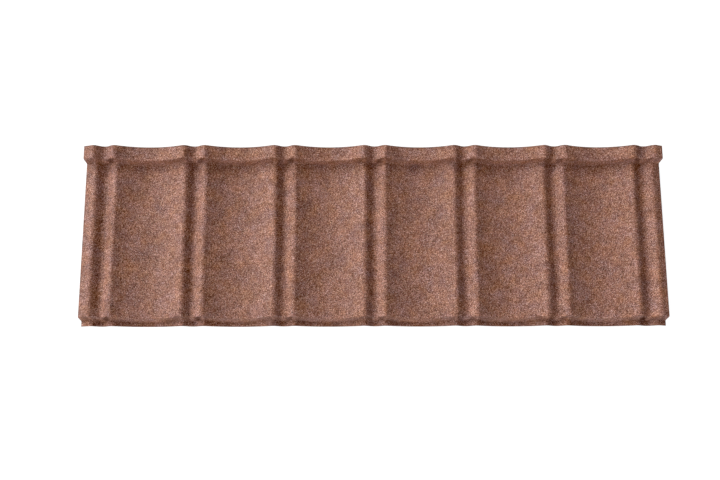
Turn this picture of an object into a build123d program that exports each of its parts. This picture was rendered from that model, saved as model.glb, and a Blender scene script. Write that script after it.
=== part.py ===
from build123d import *
import math
import os

# Tile effect roofing sheet, in millimetres: one steel blank pressed into shallow pans between double ribs,
# with a batten flange stepped up along its back edge and a nose stepped down along its front edge.
# It is drawn as it lies on a roof, +Y up the slope and +Z out of the pans, and then tipped onto a level floor.

# Ribs across the width
rib_count = 7
rib_pitch = 208.3
left_margin = 47.5  # left edge to the centre of the first rib
right_margin = 42.7  # centre of the last rib to the right edge

# Section of a rib and a pan, on the weather side
crest_height = 19.3  # above the bottom of a pan
crest_spacing = 48.2  # between the two crests of a rib
crest_radius = 12.0
valley_radius = 14.0  # of the groove between the two crests
flank_angle = 38.0  # slope of that groove's sides, in degrees

# Steps down the slope, measured between sharp corners
flange_depth = 32.3
step_height = 28.8
step_draft = 6.5  # lean of the riser, in degrees
pan_length = 361.3
nose_height = 28.4
nose_draft = 11.0
lip_depth = 9.8

# Sheet with its granule coat
sheet_thickness = 1.5
bend_radius = 2.5  # inside of each cross bend

# Working sizes, which leave no mark on the finished sheet
block_depth = 20.0  # solid ground below the lowest level
overhang = 5.0  # by which the inner block runs past every edge
parallel = 0.999  # least cosine between the normals of two parallel faces
side_margin = 0.01  # by which a riser's foot or top stays inside its two upright ends

sheet_width = left_margin + (rib_count - 1) * rib_pitch + right_margin
step_run = step_height * math.tan(math.radians(step_draft))
nose_run = nose_height * math.tan(math.radians(nose_draft))
nose_foot_y = lip_depth
nose_top_y = nose_foot_y + nose_run
step_foot_y = nose_top_y + pan_length
back_y = step_foot_y + step_run + flange_depth

# A pan is one round sweep that runs smoothly into the crests on both sides
pan_reach = (rib_pitch - crest_spacing) / 2
pan_radius = pan_reach**2 / (2 * crest_height) + crest_height / 2 - crest_radius
pan_angle = math.degrees(math.asin(pan_reach / (pan_radius + crest_radius)))

# The groove's sides are straight, and meet its floor and the crests smoothly
flank = math.radians(flank_angle)
flank_run = crest_spacing / 2 - (crest_radius + valley_radius) * math.sin(flank)
groove_depth = flank_run * math.tan(flank) + (crest_radius + valley_radius) * (1 - math.cos(flank))
valley_height = crest_height - groove_depth


def bowl(centre_x, centre_z, radius, from_angle, to_angle, y, level):
    """Arc that is open upwards, with its angles in degrees from straight down."""
    points = []
    for angle in (from_angle, (from_angle + to_angle) / 2, to_angle):
        turn = math.radians(angle)
        points.append((centre_x + radius * math.sin(turn), y, level + centre_z - radius * math.cos(turn)))
    return Edge.make_three_point_arc(*points)


def hump(centre_x, centre_z, radius, from_angle, to_angle, y, level):
    """Arc that is open downwards, with its angles in degrees from straight up."""
    return bowl(centre_x, centre_z, -radius, -from_angle, -to_angle, y, level)


def double_rib(rib_x, inset, y, level):
    """Edges over one double rib: a crest, a straight flank, the groove, a flank and the other crest."""
    hump_radius = crest_radius - inset
    crest_z = crest_height - crest_radius
    groove_z = valley_height + valley_radius
    left_x, right_x = rib_x - crest_spacing / 2, rib_x + crest_spacing / 2
    left_crest = hump(left_x, crest_z, hump_radius, -pan_angle, flank_angle, y, level)
    groove = bowl(rib_x, groove_z, valley_radius + inset, -flank_angle, flank_angle, y, level)
    right_crest = hump(right_x, crest_z, hump_radius, -flank_angle, pan_angle, y, level)
    falling_flank = Edge.make_line(left_crest @ 1, groove @ 0)
    rising_flank = Edge.make_line(groove @ 1, right_crest @ 0)
    return [left_crest, falling_flank, groove, rising_flank, right_crest]


def wave_line(inset, beyond, y, level):
    """Edges of the weather side from left to right, moved into the metal by inset."""
    left_x = -sheet_width / 2 - beyond
    right_x = sheet_width / 2 + beyond
    bowl_radius = pan_radius + inset
    first_rib_x = left_margin - sheet_width / 2
    edges = []
    for rib in range(rib_count + 1):
        rib_x = first_rib_x + rib * rib_pitch
        pan_x = rib_x - rib_pitch / 2
        # The pans at the two edges are cut off, and each whole pan is two arcs that meet at its bottom
        angles = [-pan_angle, 0, pan_angle]
        if rib == 0:
            angles = [math.degrees(math.asin((left_x - pan_x) / bowl_radius)), pan_angle]
        if rib == rib_count:
            angles = [-pan_angle, math.degrees(math.asin((right_x - pan_x) / bowl_radius))]
        for from_angle, to_angle in zip(angles, angles[1:]):
            edges.append(bowl(pan_x, pan_radius, bowl_radius, from_angle, to_angle, y, level))
        if rib < rib_count:
            edges += double_rib(rib_x, inset, y, level)
    return edges


def slab(level, inset, beyond):
    """Solid ground under the wave at one level, over the whole plan of the sheet."""
    front_y = -beyond
    top = wave_line(inset, beyond, front_y, level)
    left_top, right_top = top[0] @ 0, top[-1] @ 1
    base_z = -nose_height - block_depth
    right_base = Vector(right_top.X, front_y, base_z)
    left_base = Vector(left_top.X, front_y, base_z)
    sides = [
        Edge.make_line(right_top, right_base),
        Edge.make_line(right_base, left_base),
        Edge.make_line(left_base, left_top),
    ]
    return extrude(Face(Wire(top + sides)), back_y + 2 * beyond, dir=(0, 1, 0), clean=False).solid()


def riser_plane(foot_y, foot_z, draft, inset):
    """Plane of a riser, which faces down the slope, seen from the metal behind it."""
    lean = math.radians(draft)
    backwards = Vector(0, math.cos(lean), -math.sin(lean))
    return Plane(Vector(0, foot_y, foot_z) + backwards * inset, x_dir=(1, 0, 0), z_dir=backwards)


def riser_line(block, plane, top):
    """Edges along the foot of a riser, or along its top."""
    faces = [
        face
        for face in block.faces().filter_by(GeomType.PLANE)
        if abs(face.normal_at().dot(plane.z_dir)) > parallel and plane.contains(face.center())
    ]
    edges = [edge for face in faces for edge in face.edges()]
    limit = max(abs(edge.center().X) for edge in edges)
    lines = Wire.combine([edge for edge in edges if abs(edge.center().X) < limit - side_margin])
    lines = sorted(lines, key=lambda line: line.bounding_box().center().Z)
    return (lines[-1] if top else lines[0]).edges()


def stepped_block(inset, beyond):
    """Everything below the weather side, moved into the metal by inset."""
    step = riser_plane(step_foot_y, 0, step_draft, inset)
    nose = riser_plane(nose_foot_y, -nose_height, nose_draft, inset)
    flange = split(slab(step_height, inset, beyond), bisect_by=step, keep=Keep.TOP)
    pans = split(slab(0, inset, beyond), bisect_by=nose, keep=Keep.TOP)
    block = slab(-nose_height, inset, beyond).fuse(pans, flange).solid()
    for riser in (step, nose):
        block = block.fillet(bend_radius + inset, riser_line(block, riser, top=False))
        block = block.fillet(bend_radius + sheet_thickness - inset, riser_line(block, riser, top=True))
    return block


def bend_centre(foot_y, level, draft):
    """Centre of the outer bend at the foot of a riser, in Y and Z."""
    lean = math.radians(draft)
    radius = bend_radius + sheet_thickness
    ahead = radius * (1 - math.sin(lean)) / math.cos(lean)
    behind = sheet_thickness / math.cos(lean) - sheet_thickness * math.tan(lean)
    return foot_y + behind - ahead, level - sheet_thickness + radius


def rest_tilt():
    """Angle in degrees by which the front rises when the sheet lies on its two rows of bends."""
    front_y, front_z = bend_centre(nose_foot_y, -nose_height, nose_draft)
    rear_y, rear_z = bend_centre(step_foot_y, 0, step_draft)
    return math.degrees(math.atan2(rear_z - front_z, rear_y - front_y))


def laid_down(sheet):
    """The sheet as it lies on a level floor, centred over the origin."""
    tipped = sheet.rotate(Axis.X, -rest_tilt())
    box = tipped.bounding_box()
    return tipped.translate((-box.center().X, -box.center().Y, -box.min.Z))


def roofing_sheet():
    """The pressed sheet, of even thickness all over."""
    return laid_down(stepped_block(0, 0).cut(stepped_block(sheet_thickness, overhang)).solid())


os.makedirs("parts", exist_ok=True)
export_step(roofing_sheet(), "parts/roofing_sheet.step")
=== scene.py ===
"""Looks of the tile effect roofing sheet: its granules, primer, cut edges, light and camera."""

import logging
import math
from collections.abc import Iterable, Sequence
from dataclasses import dataclass
from enum import Enum
from functools import cached_property

import bpy
import numpy as np
from mathutils import Matrix, Vector

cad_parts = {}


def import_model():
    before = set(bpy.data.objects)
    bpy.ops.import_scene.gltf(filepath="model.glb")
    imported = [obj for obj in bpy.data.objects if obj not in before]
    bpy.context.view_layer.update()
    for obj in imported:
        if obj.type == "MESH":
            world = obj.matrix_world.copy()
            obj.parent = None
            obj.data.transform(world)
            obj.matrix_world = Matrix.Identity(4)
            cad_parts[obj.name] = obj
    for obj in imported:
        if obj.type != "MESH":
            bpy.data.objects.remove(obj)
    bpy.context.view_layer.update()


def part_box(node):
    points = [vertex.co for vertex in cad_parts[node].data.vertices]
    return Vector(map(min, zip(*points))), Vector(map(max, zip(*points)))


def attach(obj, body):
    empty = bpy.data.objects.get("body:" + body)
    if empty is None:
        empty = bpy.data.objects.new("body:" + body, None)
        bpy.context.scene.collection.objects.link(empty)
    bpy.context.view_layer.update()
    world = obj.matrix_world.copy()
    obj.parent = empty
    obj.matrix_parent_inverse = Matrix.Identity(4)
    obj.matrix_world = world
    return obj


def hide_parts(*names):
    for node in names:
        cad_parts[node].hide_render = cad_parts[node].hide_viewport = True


LOG = logging.getLogger("roofing_sheet")

SHEET_NODE = "roofing_sheet"
BODY = "root"
BAKE_MAP = "OFBake"  # UV map that lays the surfaces out
STONE_ATTRIBUTE = "stone"  # each granule's own random share, from 0 to 1
CREASE_SHADE_ATTRIBUTE = "crease"  # 1 in the bend at the nose's foot, 0 away from it; it sets where painted shade darkens the stones
PHOTO_WIDTH = 720  # pixels of the photograph's frame
JOIN_GAP = 1e-7  # between the ends of two arcs that meet
EDGE_COUNT = 4  # cut edges of the sheet
NUMBER_SOCKET = "NodeSocketFloat"
COLOR_SOCKET = "NodeSocketColor"

Array = np.ndarray
Socket = bpy.types.NodeSocket
Inputs = bpy.types.NodeInputs
Outputs = bpy.types.NodeOutputs
Piece = bpy.types.Object
Pair = tuple[float, float]
Color = tuple[float, float, float]
Stops = tuple[tuple[float, Color], ...]  # places along a ramp with their colours
Row = tuple[Array, Array]  # Y and Z of a row of points, one for each column of the wave

BLACK: Color = (0.0, 0.0, 0.0)
WHITE: Color = (1.0, 1.0, 1.0)


class Face(Enum):
    """Material slots of the pressed sheet."""

    WEATHER_SIDE = 0
    UNDERSIDE = 1
    CUT_EDGE = 2


class Bend(Enum):
    """Kinds of cross bend, by which way the weather side curves there."""

    FOOT = 1
    TOP = -1


@dataclass(frozen=True)
class Trace:
    """Points of a line across the ribs, with the weather side's normal at each."""

    x: Array
    z: Array
    normal_x: Array
    normal_z: Array


@dataclass(frozen=True)
class WaveSection:
    """Section across the ribs: shallow round pans between double ribs."""

    rib_count: int = 7
    rib_pitch: float = 0.2083
    left_margin: float = 0.0475
    right_margin: float = 0.0427
    crest_height: float = 0.0193
    crest_spacing: float = 0.0482
    crest_radius: float = 0.012
    valley_radius: float = 0.014
    flank_angle: float = math.radians(38)
    crest_steps: int = 9
    valley_steps: int = 9
    flank_steps: int = 2
    pan_steps: int = 20

    @cached_property
    def width(self) -> float:
        """Width of the sheet from edge to edge."""
        return self.left_margin + (self.rib_count - 1) * self.rib_pitch + self.right_margin

    @cached_property
    def pan_reach(self) -> float:
        """Distance from a pan's middle to the next crest."""
        return (self.rib_pitch - self.crest_spacing) / 2

    @cached_property
    def pan_radius(self) -> float:
        """Radius of a pan, which runs smoothly into the crests."""
        radii = self.pan_reach**2 / (2 * self.crest_height) + self.crest_height / 2
        return radii - self.crest_radius

    @cached_property
    def pan_angle(self) -> float:
        """Angle of a pan's slope where it meets a crest."""
        return math.asin(self.pan_reach / (self.pan_radius + self.crest_radius))

    @cached_property
    def valley_height(self) -> float:
        """Height of the groove's floor between two crests.

        Returns:
            Height above the bottom of a pan.
        """
        radii = self.crest_radius + self.valley_radius
        run = self.crest_spacing / 2 - radii * math.sin(self.flank_angle)
        depth = run * math.tan(self.flank_angle) + radii * (1 - math.cos(self.flank_angle))
        return self.crest_height - depth

    def arc(self, centre: Pair, radius: float, angles: Pair, steps: int) -> Array:
        """Points and normals along an arc, open upwards where the radius is positive.

        Args:
            centre: X and Z of the centre.
            radius: Radius, negative for an arc that is open downwards.
            angles: First and last angle from straight down.
            steps: Number of segments.

        Returns:
            Rows of x, z, and the upward normal's x and z.
        """
        turn = np.linspace(angles[0], angles[1], steps + 1)
        x, z = centre[0] + radius * np.sin(turn), centre[1] - radius * np.cos(turn)
        return np.stack([x, z, -np.sin(turn), np.cos(turn)], axis=1)

    def double_rib(self, rib_x: float, inset: float) -> list[Array]:
        """Crest, groove and crest of one double rib.

        Args:
            rib_x: Middle of the rib.
            inset: Depth below the weather side.

        Returns:
            Three arcs, whose gaps are the groove's straight flanks.
        """
        crest, groove = self.crest_radius - inset, self.valley_radius + inset
        crest_z = self.crest_height - self.crest_radius
        groove_z = self.valley_height + self.valley_radius
        half = self.crest_spacing / 2
        flank, pan = self.flank_angle, self.pan_angle
        return [
            self.arc((rib_x - half, crest_z), -crest, (pan, -flank), self.crest_steps),
            self.arc((rib_x, groove_z), groove, (-flank, flank), self.valley_steps),
            self.arc((rib_x + half, crest_z), -crest, (flank, -pan), self.crest_steps),
        ]

    def joined(self, arcs: list[Array]) -> Array:
        """Arcs in a row, with the straight stretches between them divided.

        Args:
            arcs: Arcs from left to right.

        Returns:
            All their points, each once.
        """
        rows = [arcs[0]]
        for arc in arcs[1:]:
            last = rows[-1][-1]
            if np.allclose(last[:2], arc[0, :2], atol=JOIN_GAP):
                rows.append(arc[1:])
                continue
            shares = np.linspace(0, 1, self.flank_steps + 1)[1:-1, None]
            rows.append(last + (arc[0] - last) * shares)
            rows.append(arc)
        return np.concatenate(rows)

    def trace(self, inset: float) -> Trace:
        """Line across the whole sheet at one depth.

        Args:
            inset: Depth below the weather side.

        Returns:
            The line from the left edge to the right edge.
        """
        half_width = self.width / 2
        radius = self.pan_radius + inset
        arcs = []
        for rib in range(self.rib_count + 1):
            rib_x = self.left_margin - half_width + rib * self.rib_pitch
            pan_x = rib_x - self.rib_pitch / 2
            angles = (-self.pan_angle, self.pan_angle)
            if rib == 0:
                angles = (math.asin((-half_width - pan_x) / radius), self.pan_angle)
            if rib == self.rib_count:
                angles = (-self.pan_angle, math.asin((half_width - pan_x) / radius))
            steps = self.pan_steps if 0 < rib < self.rib_count else self.pan_steps // 2
            arcs.append(self.arc((pan_x, self.pan_radius), radius, angles, steps))
            if rib < self.rib_count:
                arcs += self.double_rib(rib_x, inset)
        return Trace(*self.joined(arcs).T)


@dataclass(frozen=True)
class Riser:
    """Upright face across the sheet, which leans back up the slope."""

    foot_y: float
    foot_z: float
    height: float
    draft: float

    @property
    def turn(self) -> float:
        """Angle by which the sheet turns at the foot and turns back at the top."""
        return math.pi / 2 - self.draft

    def depth_at(self, z: Array, inset: float) -> Array:
        """How far up the slope the face lies, at a height and a depth below its outside."""
        lean = self.draft
        return self.foot_y + (z - self.foot_z) * math.tan(lean) + inset / math.cos(lean)


@dataclass(frozen=True)
class SlopeProfile:
    """Profile up the slope: lip, nose, pans, step and batten flange."""

    flange_depth: float = 0.0323
    step_height: float = 0.0288
    step_draft: float = math.radians(6.5)
    pan_length: float = 0.3613
    nose_height: float = 0.0284
    nose_draft: float = math.radians(11)
    lip_depth: float = 0.0098
    thickness: float = 0.0015
    bend_radius: float = 0.0025
    lip_steps: int = 3
    bend_steps: int = 6
    riser_steps: int = 6
    pan_steps: int = 24
    flange_steps: int = 5

    @cached_property
    def nose(self) -> Riser:
        """Face that steps down at the front."""
        return Riser(self.lip_depth, -self.nose_height, self.nose_height, self.nose_draft)

    @cached_property
    def step(self) -> Riser:
        """Face that steps up to the flange."""
        nose_top_y = self.lip_depth + self.nose_height * math.tan(self.nose_draft)
        return Riser(nose_top_y + self.pan_length, 0.0, self.step_height, self.step_draft)

    @cached_property
    def back_y(self) -> float:
        """Back edge of the flange."""
        return self.step.foot_y + self.step_height * math.tan(self.step_draft) + self.flange_depth

    def radius(self, bend: Bend, inset: float) -> float:
        """Radius of a bend at one depth.

        Args:
            bend: The foot or the top of a face.
            inset: Depth below the weather side.

        Returns:
            The radius.
        """
        if bend is Bend.FOOT:
            return self.bend_radius + inset
        return self.bend_radius + self.thickness - inset

    def bend(self, riser: Riser, bend: Bend, inset: float, line: Trace) -> list[Row]:
        """Rows of points round one bend.

        Args:
            riser: Face that the bend belongs to.
            bend: Its foot or its top.
            inset: Depth below the weather side.
            line: The wave at that depth.

        Returns:
            The rows, from the front backwards.
        """
        radius = self.radius(bend, inset)
        corner_z = line.z + riser.foot_z + (riser.height if bend is Bend.TOP else 0.0)
        corner_y = riser.depth_at(corner_z, inset)
        reach = radius * math.tan(riser.turn / 2)
        turns = np.linspace(0, riser.turn, self.bend_steps + 1)
        if bend is Bend.TOP:
            turns = turns[::-1]
        rows = []
        for turn in turns:
            along = (radius * math.sin(turn) - reach) * bend.value
            above = radius * (1 - math.cos(turn)) * bend.value
            rows.append((corner_y + along, corner_z + above / line.normal_z))
        return rows

    def rows(self, inset: float, line: Trace) -> Array:
        """All points of the sheet at one depth, in the roof's directions.

        Args:
            inset: Depth below the weather side.
            line: The wave at that depth.

        Returns:
            An array of rows up the slope by columns across by 3.
        """
        nose_foot = self.bend(self.nose, Bend.FOOT, inset, line)
        nose_top = self.bend(self.nose, Bend.TOP, inset, line)
        step_foot = self.bend(self.step, Bend.FOOT, inset, line)
        step_top = self.bend(self.step, Bend.TOP, inset, line)
        front = (np.zeros_like(line.x), line.z - self.nose_height)
        back = (np.full_like(line.x, self.back_y), line.z + self.step_height)
        plan = [
            ([front], self.lip_steps),
            (nose_foot, self.riser_steps),
            (nose_top, self.pan_steps),
            (step_foot, self.riser_steps),
            (step_top, self.flange_steps),
            ([back], 0),
        ]
        lines = []
        for (group, steps), following in zip(plan, plan[1:] + [([], 0)]):
            lines += group
            for share in np.linspace(0, 1, steps + 1)[1:-1]:
                (from_y, from_z), (to_y, to_z) = group[-1], following[0][0]
                lines.append((from_y + (to_y - from_y) * share, from_z + (to_z - from_z) * share))
        return np.stack([np.stack([line.x, y, z], axis=1) for y, z in lines])

    @property
    def crease_row(self) -> int:
        """Row in the middle of the bend at the nose's foot."""
        return self.lip_steps + self.bend_steps // 2

    def bend_centre(self, riser: Riser) -> Pair:
        """Centre of the outer bend at a riser's foot, at the bottom of a pan.

        Args:
            riser: Face that the bend belongs to.

        Returns:
            Y and Z of the centre.
        """
        radius = self.bend_radius + self.thickness
        ahead = radius * (1 - math.sin(riser.draft)) / math.cos(riser.draft)
        behind = self.thickness / math.cos(riser.draft) - self.thickness * math.tan(riser.draft)
        return riser.foot_y + behind - ahead, riser.foot_z - self.thickness + radius

    @cached_property
    def rest_tilt(self) -> float:
        """Angle by which the sheet tips when it lies on its two rows of bends.

        Returns:
            The angle, with the front going up.
        """
        front_y, front_z = self.bend_centre(self.nose)
        rear_y, rear_z = self.bend_centre(self.step)
        return math.atan2(rear_z - front_z, rear_y - front_y)


@dataclass(frozen=True)
class PressedForm:
    """The sheet's form as it lies on the floor."""

    wave: WaveSection
    slope: SlopeProfile
    low: Vector
    high: Vector
    # how far the painted shade of the crease reaches up and down the slope
    crease_reach: float = 0.008

    @cached_property
    def placing(self) -> tuple[Array, Array]:
        """Turn and shift from the roof's directions to the floor.

        Returns:
            A 3 by 3 matrix and a vector.
        """
        turn = np.array(Matrix.Rotation(-self.slope.rest_tilt, 3, "X"))
        thickness = self.slope.thickness
        under = self.slope.rows(thickness, self.wave.trace(thickness)) @ turn.T
        top = self.slope.rows(0.0, self.wave.trace(0.0)) @ turn.T
        shift = np.array([0.0, self.high.y - top[..., 1].max(), self.low.z - under[..., 2].min()])
        return turn, shift

    def surface(self, inset: float) -> Array:
        """Points at one depth below the weather side as they lie, in rows up the slope."""
        turn, shift = self.placing
        return self.slope.rows(inset, self.wave.trace(inset)) @ turn.T + shift

    def measured(self, line: Array) -> Array:
        """Length along a line of points, at each point."""
        return np.concatenate([[0.0], np.cumsum(np.linalg.norm(np.diff(line, axis=0), axis=1))])

    def creases(self, along: Array, place: Array) -> Array:
        """Share of the crease's painted shade at each place up the slope, where along gives every
        row's place.
        """
        return np.exp(-(((place - along[self.slope.crease_row]) / self.crease_reach) ** 2))


class NodeBook:
    """Short calls for a node tree."""

    def __init__(self, tree: bpy.types.NodeTree) -> None:
        """Holds the tree that nodes are added to."""
        self.tree = tree

    def feed(self, slot: Socket, value: object) -> None:
        """Joins a socket to an input, or sets the input.

        Args:
            slot: The input.
            value: Socket, number, colour or vector.
        """
        if isinstance(value, Socket):
            self.tree.links.new(value, slot)
        else:
            slot.default_value = (*value, 1.0) if slot.type == "RGBA" else value

    def add(self, kind: str, **settings: object) -> bpy.types.Node:
        """Adds a node.

        Args:
            kind: Node type without its ShaderNode prefix.
            settings: Properties, or inputs by name with underscores for spaces.

        Returns:
            The new node.
        """
        prefix = "" if kind.startswith("NodeGroup") else "ShaderNode"
        node = self.tree.nodes.new(prefix + kind)
        for key, value in settings.items():
            if hasattr(node, key):
                setattr(node, key, value)
            else:
                self.feed(node.inputs[key.replace("_", " ")], value)
        return node

    def place(self) -> Socket:
        """The piece's own coordinates."""
        return self.add("TexCoord").outputs["Object"]

    def share(self, name: str) -> Socket:
        """Number that each vertex of a piece has under a name."""
        return self.add("Attribute", attribute_name=name).outputs["Fac"]

    def math(self, operation: str, *values: object, kind: str = "Math") -> Socket:
        """Arithmetic on sockets, numbers or vectors.

        Args:
            operation: Name of the operation.
            values: What it works on, in order.
            kind: Math, or VectorMath for vectors.

        Returns:
            The result's socket.
        """
        node = self.add(kind, operation=operation)
        for slot, value in zip(node.inputs, values):
            self.feed(slot, value)
        return node.outputs[0]

    def noise(self, place: Socket, scale: Socket, grain: dict[str, float]) -> Socket:
        """Noise at a place, with its grain's detail and roughness."""
        return self.add("TexNoise", Vector=place, Scale=scale, **grain).outputs[0]

    def spread(self, value: Socket, **limits: float) -> Socket:
        """A value stretched from one range to another."""
        return self.add("MapRange", Value=value, **limits).outputs[0]

    def scaled(self, color: Socket, strength: object) -> Socket:
        """A colour made darker or paler by a socket or a number."""
        return self.add("VectorMath", operation="SCALE", Vector=color, Scale=strength).outputs[0]

    def mix(self, share: object, first: object, second: object, blend: str = "MIX") -> Socket:
        """Mixes two colours.

        Args:
            share: Socket or number, from the first to the second.
            first: Socket or colour.
            second: Socket or colour.
            blend: Way of mixing.

        Returns:
            The mixed colour's socket.
        """
        node = self.add("Mix", data_type="RGBA", blend_type=blend)
        slots = [slot for slot in node.inputs if slot.type == "RGBA"]
        for slot, value in zip([node.inputs[0], *slots], (share, first, second)):
            self.feed(slot, value)
        return next(slot for slot in node.outputs if slot.type == "RGBA")

    def seen_white(self, unseen: float) -> Socket:
        """White to the camera, and a grey of its own to the light that falls on the sheet."""
        return self.mix(self.add("LightPath").outputs["Is Camera Ray"], (unseen,) * 3, WHITE)

    def ramp(self, value: Socket, stops: Stops) -> Socket:
        """Colour by value.

        Args:
            value: What the colour follows.
            stops: Positions with their colours.

        Returns:
            The colour's socket.
        """
        node = self.add("ValToRGB")
        elements = node.color_ramp.elements
        while len(elements) < len(stops):
            elements.new(0.5)
        for element, (position, color) in zip(elements, stops):
            element.position = position
            element.color = (*color, 1.0)
        self.feed(node.inputs[0], value)
        return node.outputs[0]

    def bump(self, height: Socket, distance: float) -> Socket:
        """Normal of a relief whose height of 1 measures a distance."""
        return self.add("Bump", Height=height, Distance=distance).outputs[0]


class ShaderGroup:
    """Node group with named inputs and outputs, built once for all the materials that use it."""

    name: str
    inputs: tuple[tuple[str, float], ...]  # names with the numbers they start from
    outputs: tuple[tuple[str, str], ...]  # names with their kinds of socket

    def __init__(self) -> None:
        """Makes the group's sockets and its inside."""
        self.tree = bpy.data.node_groups.new(self.name, "ShaderNodeTree")
        interface = self.tree.interface
        for socket, value in self.inputs:
            made = interface.new_socket(socket, in_out="INPUT", socket_type=NUMBER_SOCKET)
            made.default_value = value
        for socket, kind in self.outputs:
            interface.new_socket(socket, in_out="OUTPUT", socket_type=kind)
        book = NodeBook(self.tree)
        self.build(book, book.add("NodeGroupInput").outputs, book.add("NodeGroupOutput").inputs)

    def build(self, book: NodeBook, given: Outputs, result: Inputs) -> None:
        """Fills the group between what it is given and its result, both by name."""
        raise NotImplementedError

    def place(self, book: NodeBook, **values: object) -> Outputs:
        """Adds the group to a material, fed by name, and gives its outputs."""
        return book.add("Group", node_tree=self.tree, **values).outputs


class StoneTones(ShaderGroup):
    """Colours of the crushed stone, from dark umber to pale pink, by a random pick."""

    name = "Stone tones"
    inputs = (("Pick", 0.5), ("Tone", 0.5), ("Warmth", 0.5), ("Crease", 0.0))
    outputs = (("Color", COLOR_SOCKET),)
    palette: Stops = (
        (0.00, (0.052, 0.0136, 0.0064)),
        (0.16, (0.118, 0.0418, 0.0251)),
        (0.38, (0.226, 0.0955, 0.0631)),
        (0.62, (0.334, 0.155, 0.108)),
        (0.84, (0.456, 0.249, 0.191)),
        (1.00, (0.580, 0.383, 0.319)),
    )
    darkest, palest = 0.82, 1.18
    crease_painted_shade = 0.13  # of the colour, taken off as painted shade in the bend at the nose's foot
    cool: Color = (0.955, 1.02, 1.19)
    warm: Color = (1.045, 0.98, 0.82)

    def build(self, book: NodeBook, given: Outputs, result: Inputs) -> None:
        """Picks a stone's colour, shades and tints it by the slow mottling, and darkens it in the
        crease as painted shade.

        Args:
            book: The group's nodes.
            given: What the group is given, by name.
            result: What the group gives, by name.
        """
        shade = book.spread(given["Tone"], To_Min=self.darkest, To_Max=self.palest)
        # painted shade: the colour is darkened where the crease's share is high
        kept = book.math("MULTIPLY_ADD", given["Crease"], -self.crease_painted_shade, 1.0)
        strength = book.math("MULTIPLY", shade, kept)
        stone = book.scaled(book.ramp(given["Pick"], self.palette), strength)
        tint = book.mix(given["Warmth"], self.cool, self.warm)
        book.feed(result["Color"], book.mix(1.0, stone, tint, "MULTIPLY"))


class SlowMottling(ShaderGroup):
    """Uneven spread of the stones over the sheet, a few hands wide and a few fingers wide."""

    name = "Slow mottling"
    inputs = (("Scale", 30.0),)
    outputs = (("Tone", NUMBER_SOCKET), ("Warmth", NUMBER_SOCKET))
    thin, dense = 0.30, 0.70  # of the noise, which seldom goes further
    grain = {"Detail": 3.0, "Roughness": 0.65}
    offsets = (("Tone", 0.0), ("Warmth", 7.3))  # where each output's noise is read

    def build(self, book: NodeBook, given: Outputs, result: Inputs) -> None:
        """Reads two noises at the piece's own coordinates.

        Args:
            book: The group's nodes.
            given: What the group is given, by name.
            result: What the group gives, by name.
        """
        place = book.place()
        for name, offset in self.offsets:
            shifted = book.math("ADD", place, (offset,) * 3, kind="VectorMath")
            noise = book.noise(shifted, given["Scale"], self.grain)
            book.feed(result[name], book.spread(noise, From_Min=self.thin, From_Max=self.dense))


class FineGrit(ShaderGroup):
    """Rough broken surface, for the faces of stones, for the primer and for the cut steel."""

    name = "Fine grit"
    inputs = (("Scale", 900.0),)
    outputs = (("Height", NUMBER_SOCKET),)
    grain = {"Detail": 4.0, "Roughness": 0.6}

    def build(self, book: NodeBook, given: Outputs, result: Inputs) -> None:
        """Noise as a height, which also tells hollows from bumps."""
        book.feed(result["Height"], book.noise(book.place(), given["Scale"], self.grain))


@dataclass
class Groups:
    """The shader groups that the finishes share."""

    tones: StoneTones
    mottling: SlowMottling
    grit: FineGrit


@dataclass(frozen=True)
class Finish:
    """A painted, coated or bare surface."""

    name: str
    roughness: float
    specular: float = 0.5

    def layers(self, book: NodeBook, groups: Groups) -> dict[str, object]:
        """What the main shader is fed, by the name of its input."""
        raise NotImplementedError

    def material(self, groups: Groups) -> bpy.types.Material:
        """Makes the material.

        Args:
            groups: Shared shader groups.

        Returns:
            The material.
        """
        material = bpy.data.materials.new(self.name)
        material.use_nodes = True
        book = NodeBook(material.node_tree)
        shader = material.node_tree.nodes["Principled BSDF"]
        shader.inputs["Roughness"].default_value = self.roughness
        shader.inputs["Specular IOR Level"].default_value = self.specular
        for name, value in self.layers(book, groups).items():
            book.feed(shader.inputs[name], value)
        return material


@dataclass(frozen=True)
class StoneFinish(Finish):
    """Crushed stone, coarse or fine."""

    mottling_scale: float = 32.0

    def stone_color(self, book: NodeBook, groups: Groups, pick: Socket) -> Socket:
        """Colour of each stone, with the sheet's slow mottling and the crease's painted shade in
        it.

        Args:
            book: The material's nodes.
            groups: Shared shader groups.
            pick: Each stone's own random share.

        Returns:
            The colour's socket.
        """
        slow = groups.mottling.place(book, Scale=self.mottling_scale)
        shades = {name: slow[name] for name in ("Tone", "Warmth")}
        # share of painted shade in the crease at the nose's foot
        crease = book.share(CREASE_SHADE_ATTRIBUTE)
        return groups.tones.place(book, Pick=pick, Crease=crease, **shades)["Color"]


@dataclass(frozen=True)
class GranuleFinish(StoneFinish):
    """Coarse granules, each with its own stone colour."""

    name: str = "stone_granules"
    roughness: float = 0.6
    facet_relief: float = 0.00006
    facet_scale: float = 1600.0

    def layers(self, book: NodeBook, groups: Groups) -> dict[str, object]:
        """Stone colours by each granule's own share, on rough facets.

        Args:
            book: The material's nodes.
            groups: Shared shader groups.

        Returns:
            Sockets or values, by the name of the shader's input.
        """
        grit = groups.grit.place(book, Scale=self.facet_scale)
        return {
            "Base Color": self.stone_color(book, groups, book.share(STONE_ATTRIBUTE)),
            "Normal": book.bump(grit["Height"], self.facet_relief),
        }


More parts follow.
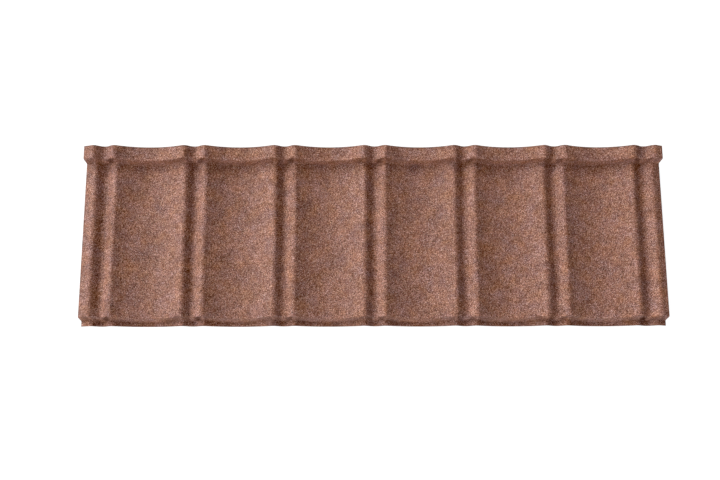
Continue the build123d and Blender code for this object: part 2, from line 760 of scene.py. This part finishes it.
@dataclass(frozen=True)
class BedFinish(StoneFinish):
    """Fine stone and binder that show between the coarse granules."""

    name: str = "stone_bed"
    roughness: float = 0.9
    specular: float = 0.2
    grain_scale: float = 1100.0
    grain_relief: float = 0.0003
    darkening: float = 0.62

    def layers(self, book: NodeBook, groups: Groups) -> dict[str, object]:
        """Fine grains, each in a darkened stone colour.

        Args:
            book: The material's nodes.
            groups: Shared shader groups.

        Returns:
            Sockets or values, by the name of the shader's input.
        """
        grains = book.add("TexVoronoi", Vector=book.place(), Scale=self.grain_scale)
        pick = book.add("SeparateColor", Color=grains.outputs["Color"]).outputs[0]
        height = book.math("SUBTRACT", 1.0, grains.outputs["Distance"])
        return {
            "Base Color": book.scaled(self.stone_color(book, groups, pick), self.darkening),
            "Normal": book.bump(height, self.grain_relief),
        }


@dataclass(frozen=True)
class PrimerFinish(Finish):
    """Grey primer on the underside, with dust of the stones in it."""

    name: str = "grey_primer"
    roughness: float = 0.5  # where it is least worn
    paint: Color = (0.33, 0.31, 0.285)
    stain: Color = (0.285, 0.26, 0.235)
    stain_span: Pair = (0.15, 0.85)  # of the mottling, from stain to clean paint
    speck: Color = (0.72, 0.66, 0.60)  # as a share of the colour under it
    speck_span: Pair = (0.30, 0.42)  # of the peel's hollows, from speck to none
    wear: float = 0.25  # by which the roughness grows where the paint is worn
    mottling_scale: float = 18.0
    peel_scale: float = 420.0
    peel_relief: float = 0.00012

    def layers(self, book: NodeBook, groups: Groups) -> dict[str, object]:
        """Stained paint with specks, of uneven gloss, on a fine peel.

        Args:
            book: The material's nodes.
            groups: Shared shader groups.

        Returns:
            Sockets or values, by the name of the shader's input.
        """
        slow = groups.mottling.place(book, Scale=self.mottling_scale)
        peel = groups.grit.place(book, Scale=self.peel_scale)["Height"]
        stained = book.ramp(slow["Tone"], tuple(zip(self.stain_span, (self.stain, self.paint))))
        specks = book.ramp(peel, tuple(zip(self.speck_span, (self.speck, WHITE))))
        return {
            "Base Color": book.mix(1.0, stained, specks, "MULTIPLY"),
            "Roughness": book.math("MULTIPLY_ADD", slow["Warmth"], self.wear, self.roughness),
            "Normal": book.bump(peel, self.peel_relief),
        }


@dataclass(frozen=True)
class CutSteelFinish(Finish):
    """Sheared edge: dull zinc and steel, smeared with binder."""

    name: str = "cut_steel"
    roughness: float = 0.5
    steel: Color = (0.30, 0.285, 0.27)
    smear: Color = (0.17, 0.10, 0.075)
    bare_span: Pair = (0.40, 0.58)  # of the grit's height, from smeared to bare
    metal: float = 0.6  # share of metal where the edge is bare
    grit_scale: float = 260.0
    shear_relief: float = 0.00015

    def layers(self, book: NodeBook, groups: Groups) -> dict[str, object]:
        """Bare metal and smears, by the height of the sheared edge's grit.

        Args:
            book: The material's nodes.
            groups: Shared shader groups.

        Returns:
            Sockets or values, by the name of the shader's input.
        """
        grit = groups.grit.place(book, Scale=self.grit_scale)["Height"]
        bare = book.ramp(grit, tuple(zip(self.bare_span, (BLACK, WHITE))))
        return {
            "Base Color": book.mix(bare, self.smear, self.steel),
            "Metallic": book.math("MULTIPLY", bare, self.metal),
            "Normal": book.bump(grit, self.shear_relief),
        }


@dataclass(frozen=True)
class PaperFinish(Finish):
    """White paper, which glows to the camera and throws less of it back."""

    name: str = "white_paper"
    roughness: float = 1.0
    specular: float = 0.0
    paint: Color = (0.15, 0.15, 0.15)
    glow: float = 0.95
    thrown_back: float = 0.55  # share of the glow that reaches the sheet from below

    def layers(self, book: NodeBook, groups: Groups) -> dict[str, object]:
        """Dim paint under the glow.

        Args:
            book: The material's nodes.
            groups: Shared shader groups, not used here.

        Returns:
            Sockets or values, by the name of the shader's input.
        """
        return {
            "Base Color": self.paint,
            "Emission Color": book.seen_white(self.thrown_back),
            "Emission Strength": self.glow,
        }


class MeshMaker:
    """Makes meshes from whole arrays."""

    @staticmethod
    def build(name: str, points: Array, faces: Array, layout: Array) -> Piece:
        """Makes a linked mesh object whose faces all have as many corners.

        Args:
            name: Name of the piece.
            points: Places of its vertices.
            faces: Vertex numbers of each face.
            layout: Place of each face corner on the bake map.

        Returns:
            The object.
        """
        mesh = bpy.data.meshes.new(name)
        count, sides = faces.shape
        mesh.vertices.add(len(points))
        mesh.vertices.foreach_set("co", points.astype(np.float32).ravel())
        mesh.loops.add(count * sides)
        mesh.loops.foreach_set("vertex_index", faces.astype(np.int32).ravel())
        mesh.polygons.add(count)
        mesh.polygons.foreach_set("loop_start", np.arange(0, count * sides, sides, dtype=np.int32))
        mesh.update(calc_edges=True)
        bake_map = mesh.uv_layers.new(name=BAKE_MAP)
        bake_map.uv.foreach_set("vector", layout.astype(np.float32).ravel())
        piece = bpy.data.objects.new(name, mesh)
        bpy.context.scene.collection.objects.link(piece)
        return piece

    @staticmethod
    def share(piece: Piece, name: str, values: Array) -> None:
        """Gives each vertex of a piece its own number, which the materials read by name."""
        own = piece.data.attributes.new(name, "FLOAT", "POINT")
        own.data.foreach_set("value", values.astype(np.float32))


@dataclass
class PressedSheet:
    """The steel sheet with its bed of fine stone, its primed underside and its cut edges."""

    form: PressedForm
    coat_depth: float = 0.00045
    name: str = "pressed_sheet"
    edge_band: float = 0.03  # of the bake map, for the four cut edges
    lane_gap: float = 0.2  # of an edge's lane on the bake map, on both sides of it

    def grid_faces(self, rows: int, columns: int) -> Array:
        """Faces of one skin as four vertex numbers each, anticlockwise as seen from above."""
        corner = (np.arange(rows - 1)[:, None] * columns + np.arange(columns - 1)).ravel()
        return np.stack([corner, corner + 1, corner + columns + 1, corner + columns], axis=1)

    def rim(self, rows: int, columns: int) -> list[Array]:
        """Vertex numbers along the four edges of a skin, anticlockwise as seen from above."""
        numbers = np.arange(rows * columns).reshape(rows, columns)
        return [numbers[0], numbers[:, -1], numbers[-1, ::-1], numbers[::-1, 0]]

    def skin_layout(self, rows: int, columns: int) -> tuple[Array, Array]:
        """Place of each vertex of the two skins on the bake map.

        Args:
            rows: Rows of points up the slope.
            columns: Columns of points across.

        Returns:
            The weather side's places and the underside's.
        """
        share = np.stack(np.meshgrid(np.linspace(0, 1, columns), np.linspace(0, 1, rows)), axis=-1)
        half = (1 - self.edge_band) / 2
        lower = share.reshape(-1, 2) * (1, half) + (0, self.edge_band)
        return lower + (0, half), lower

    def edge_layout(self, number: int, count: int) -> Array:
        """Place of each face corner of one cut edge on the bake map.

        Args:
            number: Which of the four edges.
            count: Number of points along it.

        Returns:
            Four places a face.
        """
        lane = self.edge_band / EDGE_COUNT
        low, high = lane * (number + self.lane_gap), lane * (number + 1 - self.lane_gap)
        place = np.linspace(0, 1, count)
        corners = [(place[1:], high), (place[:-1], high), (place[:-1], low), (place[1:], low)]
        return np.stack([np.stack([u, np.full_like(u, v)], axis=-1) for u, v in corners], axis=1)

    def dress(self, piece: Piece, faces: list[Array], groups: Groups) -> None:
        """Gives each kind of face its finish, and smooths all but the cut edges.

        Args:
            piece: The sheet's object.
            faces: Faces of the weather side, of the underside and of the four cut edges.
            groups: Shared shader groups.
        """
        kinds = [Face.WEATHER_SIDE, Face.UNDERSIDE] + [Face.CUT_EDGE] * EDGE_COUNT
        slots = [np.full(len(part), kind.value, np.int32) for part, kind in zip(faces, kinds)]
        slots = np.concatenate(slots)
        piece.data.polygons.foreach_set("material_index", slots)
        piece.data.polygons.foreach_set("use_smooth", slots != Face.CUT_EDGE.value)
        finishes = {
            Face.WEATHER_SIDE: BedFinish(),
            Face.UNDERSIDE: PrimerFinish(),
            Face.CUT_EDGE: CutSteelFinish(),
        }
        for kind in Face:
            piece.data.materials.append(finishes[kind].material(groups))

    def build(self, groups: Groups) -> Piece:
        """Makes the sheet as one closed mesh and dresses it.

        Args:
            groups: Shared shader groups.

        Returns:
            The sheet's object.
        """
        bed = self.form.surface(self.coat_depth)
        under = self.form.surface(self.form.slope.thickness)
        rows, columns = bed.shape[:2]
        count = rows * columns
        skin = self.grid_faces(rows, columns)
        faces = [skin, skin[:, ::-1] + count]
        upper, lower = self.skin_layout(rows, columns)
        layout = [upper[skin], lower[skin[:, ::-1]]]
        for number, edge in enumerate(self.rim(rows, columns)):
            near, far = edge[:-1], edge[1:]
            faces.append(np.stack([far, near, near + count, far + count], axis=1))
            layout.append(self.edge_layout(number, len(edge)))
        points = np.concatenate([bed.reshape(-1, 3), under.reshape(-1, 3)])
        piece = MeshMaker.build(self.name, points, np.concatenate(faces), np.concatenate(layout))
        # painted shade in the crease at the nose's foot, as a share at each row
        along = self.form.measured(bed[:, columns // 2])
        creases = np.repeat(self.form.creases(along, along), columns)
        MeshMaker.share(piece, CREASE_SHADE_ATTRIBUTE, np.tile(creases, 2))
        self.dress(piece, faces, groups)
        return piece


@dataclass(frozen=True)
class StoneSeats:
    """Where the granules sit, one row a granule."""

    foot: Array
    out: Array  # unit vector out of the sheet
    side: Array  # unit vector along the sheet
    crease: Array  # share of the painted shade in the crease at the nose's foot


@dataclass
class GranuleCoat:
    """Coarse stone granules over the whole weather side, each a small broken stone of its own."""

    form: PressedForm
    coat_depth: float
    spacing: float = 0.00184
    jitter: float = 0.36  # of the spacing
    radius: Pair = (0.50, 0.78)  # of the spacing
    height: Pair = (0.55, 1.0)  # of the coat's depth
    peak_offset: float = 0.35  # of the radius
    corner_turn: float = 0.28  # of the angle between two corners
    sink: float = 0.00008  # of a foot into the bed
    edge_margin: float = 0.0016
    map_radius: float = 0.6  # of a stone's square on the bake map
    seed: int = 7
    parts: tuple[str, ...] = ("left", "mid_left", "mid_right", "right")
    sides: int = 4

    def sampled(self, skin: Array, row: Array, column: Array) -> Array:
        """Points between a skin's rows and columns.

        Args:
            skin: Grid of points.
            row: Row of each sample, with its fraction.
            column: Column of each sample, with its fraction.

        Returns:
            A point for each sample.
        """
        top, left = np.floor(row).astype(int), np.floor(column).astype(int)
        down, right = (row - top)[:, None], (column - left)[:, None]
        front = skin[top, left] * (1 - right) + skin[top, left + 1] * right
        back = skin[top + 1, left] * (1 - right) + skin[top + 1, left + 1] * right
        return front * (1 - down) + back * down

    def scatter(self, rng: np.random.Generator) -> StoneSeats:
        """Spreads the stones evenly over the pressed surface.

        Args:
            rng: Source of the random draws.

        Returns:
            A seat for each stone.
        """
        bed, top = self.form.surface(self.coat_depth), self.form.surface(0.0)
        across = self.form.measured(bed[bed.shape[0] // 2])
        along = self.form.measured(bed[:, bed.shape[1] // 2])
        room = [line[-1] - 2 * self.edge_margin for line in (across, along)]
        counts = [int(length / self.spacing) for length in room]
        cell = np.indices(counts).reshape(2, -1).T
        place = (cell + 0.5 + rng.uniform(-self.jitter, self.jitter, cell.shape)) / counts
        u, v = (self.edge_margin + place * room).T
        column = np.interp(u, across, np.arange(len(across)))
        row = np.interp(v, along, np.arange(len(along)))
        foot, outside = self.sampled(bed, row, column), self.sampled(top, row, column)
        out = outside - foot
        out /= np.linalg.norm(out, axis=1, keepdims=True)
        side = np.cross(out, rng.normal(size=out.shape))
        side /= np.linalg.norm(side, axis=1, keepdims=True)
        return StoneSeats(foot, out, side, self.form.creases(along, v))

    def stones(self, rng: np.random.Generator, seats: StoneSeats) -> Array:
        """Shapes a low broken stone on each seat.

        Args:
            rng: Source of the random draws.
            seats: Where the stones sit.

        Returns:
            The corners of each stone's foot, and then its peak.
        """
        foot, out, side = seats.foot, seats.out, seats.side
        turned = np.cross(out, side)
        count = len(foot)
        uneven = rng.uniform(-self.corner_turn, self.corner_turn, (count, self.sides))
        angle = (np.arange(self.sides) + uneven) * 2 * math.pi / self.sides
        radius = self.spacing * rng.uniform(*self.radius, (count, self.sides))
        corners = foot[:, None] - out[:, None] * self.sink
        corners = corners + side[:, None] * (radius * np.cos(angle))[..., None]
        corners = corners + turned[:, None] * (radius * np.sin(angle))[..., None]
        shift = rng.uniform(-1, 1, (count, 2)) * self.peak_offset
        shift *= radius.mean(axis=1, keepdims=True)
        peak = foot + out * self.coat_depth * rng.uniform(*self.height, (count, 1))
        peak = peak + side * shift[:, :1] + turned * shift[:, 1:]
        return np.concatenate([corners, peak[:, None]], axis=1)

    def map_layout(self, count: int) -> Array:
        """A square of the bake map for each stone, cut into its faces.

        Args:
            count: Number of stones.

        Returns:
            Places of every face's corners.
        """
        across = math.ceil(math.sqrt(count))
        cell = np.stack([np.arange(count) % across, np.arange(count) // across], axis=1) / across
        turn = (np.arange(self.sides) + 0.5) * 2 * math.pi / self.sides
        ring = 0.5 + self.map_radius * np.stack([np.cos(turn), np.sin(turn)], axis=1)
        faces = np.stack([ring, np.roll(ring, -1, axis=0), np.full_like(ring, 0.5)], axis=1)
        return cell[:, None, None] + faces / across

    def build(self, groups: Groups) -> list[Piece]:
        """Makes the stones, in strips from left to right.

        Args:
            groups: Shared shader groups.

        Returns:
            One object a strip.
        """
        rng = np.random.default_rng(self.seed)
        seats = self.scatter(rng)
        stones = self.stones(rng, seats)
        # each stone's pick, and its share of the crease's painted shade
        shares = {STONE_ATTRIBUTE: rng.uniform(0, 1, len(stones)), CREASE_SHADE_ATTRIBUTE: seats.crease}
        material = GranuleFinish().material(groups)
        ring = np.arange(self.sides)
        corners = self.sides + 1
        stone_faces = np.stack([ring, np.roll(ring, -1), np.full_like(ring, self.sides)], axis=1)
        strips = np.array_split(np.arange(len(stones)), len(self.parts))
        pieces = []
        for part, numbers in zip(self.parts, strips):
            count = len(numbers)
            points = stones[numbers].reshape(-1, 3)
            faces = (stone_faces + np.arange(count)[:, None, None] * corners).reshape(-1, 3)
            piece = MeshMaker.build(f"granules_{part}", points, faces, self.map_layout(count))
            for name, values in shares.items():
                MeshMaker.share(piece, name, np.repeat(values[numbers], corners))
            piece.data.materials.append(material)
            pieces.append(piece)
        return pieces


@dataclass(frozen=True)
class StudioFloor:
    """Plain white floor under and round the sheet."""

    reach: float = 150.0

    def build(self, groups: Groups) -> None:
        """Makes the floor.

        Args:
            groups: Shared shader groups.
        """
        mesh = bpy.data.meshes.new("studio_floor")
        far = self.reach
        corners = [(-far, -far, 0), (far, -far, 0), (far, far, 0), (-far, far, 0)]
        mesh.from_pydata(corners, [], [(0, 1, 2, 3)])
        mesh.materials.append(PaperFinish().material(groups))
        floor = bpy.data.objects.new("studio_floor", mesh)
        bpy.context.scene.collection.objects.link(floor)


@dataclass(frozen=True)
class SoftLamp:
    """Wide soft light from one side, as strong at the sheet's middle from near as from afar."""

    name: str
    azimuth: float
    elevation: float
    strength: float
    spread: float = math.radians(44)
    distance: float = math.inf

    def lamp(self) -> bpy.types.Light:
        """Makes a round panel of light, or an even light where the lamp stands far off.

        Returns:
            The lamp's data.
        """
        if math.isinf(self.distance):
            lamp = bpy.data.lights.new(self.name, "SUN")
            lamp.energy = self.strength
            lamp.angle = self.spread
            return lamp
        radius = self.distance * math.tan(self.spread / 2)
        lamp = bpy.data.lights.new(self.name, "AREA")
        lamp.shape = "DISK"
        lamp.size = 2 * radius
        lamp.energy = self.strength * math.pi * (radius**2 + self.distance**2)
        return lamp

    def build(self) -> None:
        """Adds the lamp."""
        turn, level = self.azimuth, math.cos(self.elevation)
        source = Vector((level * math.cos(turn), level * math.sin(turn), math.sin(self.elevation)))
        holder = bpy.data.objects.new(self.name, self.lamp())
        holder.rotation_euler = source.to_track_quat("Z", "Y").to_euler()
        if math.isfinite(self.distance):
            holder.location = source * self.distance
        bpy.context.scene.collection.objects.link(holder)


@dataclass(frozen=True)
class StudioLight:
    """Soft light mostly from the left, with low light from the front and plain light all round."""

    lamps: tuple[SoftLamp, ...] = (
        SoftLamp("key_left", math.radians(180), math.radians(35), 2.06, distance=6.5),
        SoftLamp("key_rear_left", math.radians(135), math.radians(35), 2.40),
        SoftLamp("fill_front_left", math.radians(225), math.radians(15), 1.50),
        SoftLamp("fill_front_right", math.radians(315), math.radians(15), 1.65),
    )
    sky_strength: float = 0.20  # of the light from all round, which the camera sees as white
    black_level: float = 0.02  # taken off every tone, as in the photograph

    def build(self) -> None:
        """Adds the lights and sets how tones are shown."""
        for lamp in self.lamps:
            lamp.build()
        world = bpy.data.worlds.new("studio")
        world.use_nodes = True
        book = NodeBook(world.node_tree)
        background = world.node_tree.nodes["Background"]
        background.inputs["Strength"].default_value = 1.0
        book.feed(background.inputs["Color"], book.seen_white(self.sky_strength))
        bpy.context.scene.world = world
        view = bpy.context.scene.view_settings
        view.view_transform = "Standard"
        view.use_curve_mapping = True
        view.curve_mapping.black_level = (self.black_level,) * 3
        view.curve_mapping.update()


@dataclass(frozen=True)
class PhotoCamera:
    """Camera that looks down on the sheet from just in front of it, as in the photograph."""

    target: tuple[float, float, float] = (-0.03165, -0.00903, 0.01515)
    distance: float = 2.05
    lean: float = 0.197  # from the pans' own upright, towards the front
    swing: float = -0.0059
    roll: float = -0.0017
    focal_pixels: float = 885.5
    sensor_width: float = 36.0

    def build(self, rest_tilt: float) -> None:
        """Makes the camera and makes it the scene's own.

        Args:
            rest_tilt: Angle by which the sheet tips as it lies.
        """
        lean, swing = self.lean - rest_tilt, self.swing
        level = math.cos(lean)
        back = Vector((math.sin(swing) * level, -math.sin(lean), level * math.cos(swing)))
        side = Vector((math.cos(swing), 0.0, -math.sin(swing)))
        upright = Matrix((side, back.cross(side), back)).transposed()
        frame = upright @ Matrix.Rotation(self.roll, 3, "Z")
        lens = bpy.data.cameras.new("photo_camera")
        lens.sensor_fit = "HORIZONTAL"
        lens.sensor_width = self.sensor_width
        lens.lens = self.focal_pixels / PHOTO_WIDTH * self.sensor_width
        camera = bpy.data.objects.new("photo_camera", lens)
        place = Vector(self.target) + back * self.distance
        camera.matrix_world = Matrix.Translation(place) @ frame.to_4x4()
        bpy.context.scene.collection.objects.link(camera)
        bpy.context.scene.camera = camera


def main() -> None:
    """Builds the sheet, its granules, the floor, the light and the camera."""
    logging.basicConfig(level=logging.INFO, format="%(name)s: %(message)s")
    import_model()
    low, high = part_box(SHEET_NODE)
    slope = SlopeProfile()
    form = PressedForm(WaveSection(), slope, low, high)
    groups = Groups(StoneTones(), SlowMottling(), FineGrit())
    PhotoCamera().build(slope.rest_tilt)
    sheet = PressedSheet(form)
    pressed = sheet.build(groups)
    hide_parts(SHEET_NODE)
    for piece in [pressed, *GranuleCoat(form, sheet.coat_depth).build(groups)]:
        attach(piece, BODY)
        LOG.info("%s: %d faces", piece.name, len(piece.data.polygons))
    StudioFloor().build(groups)
    StudioLight().build()


if __name__ == "__main__":
    main()
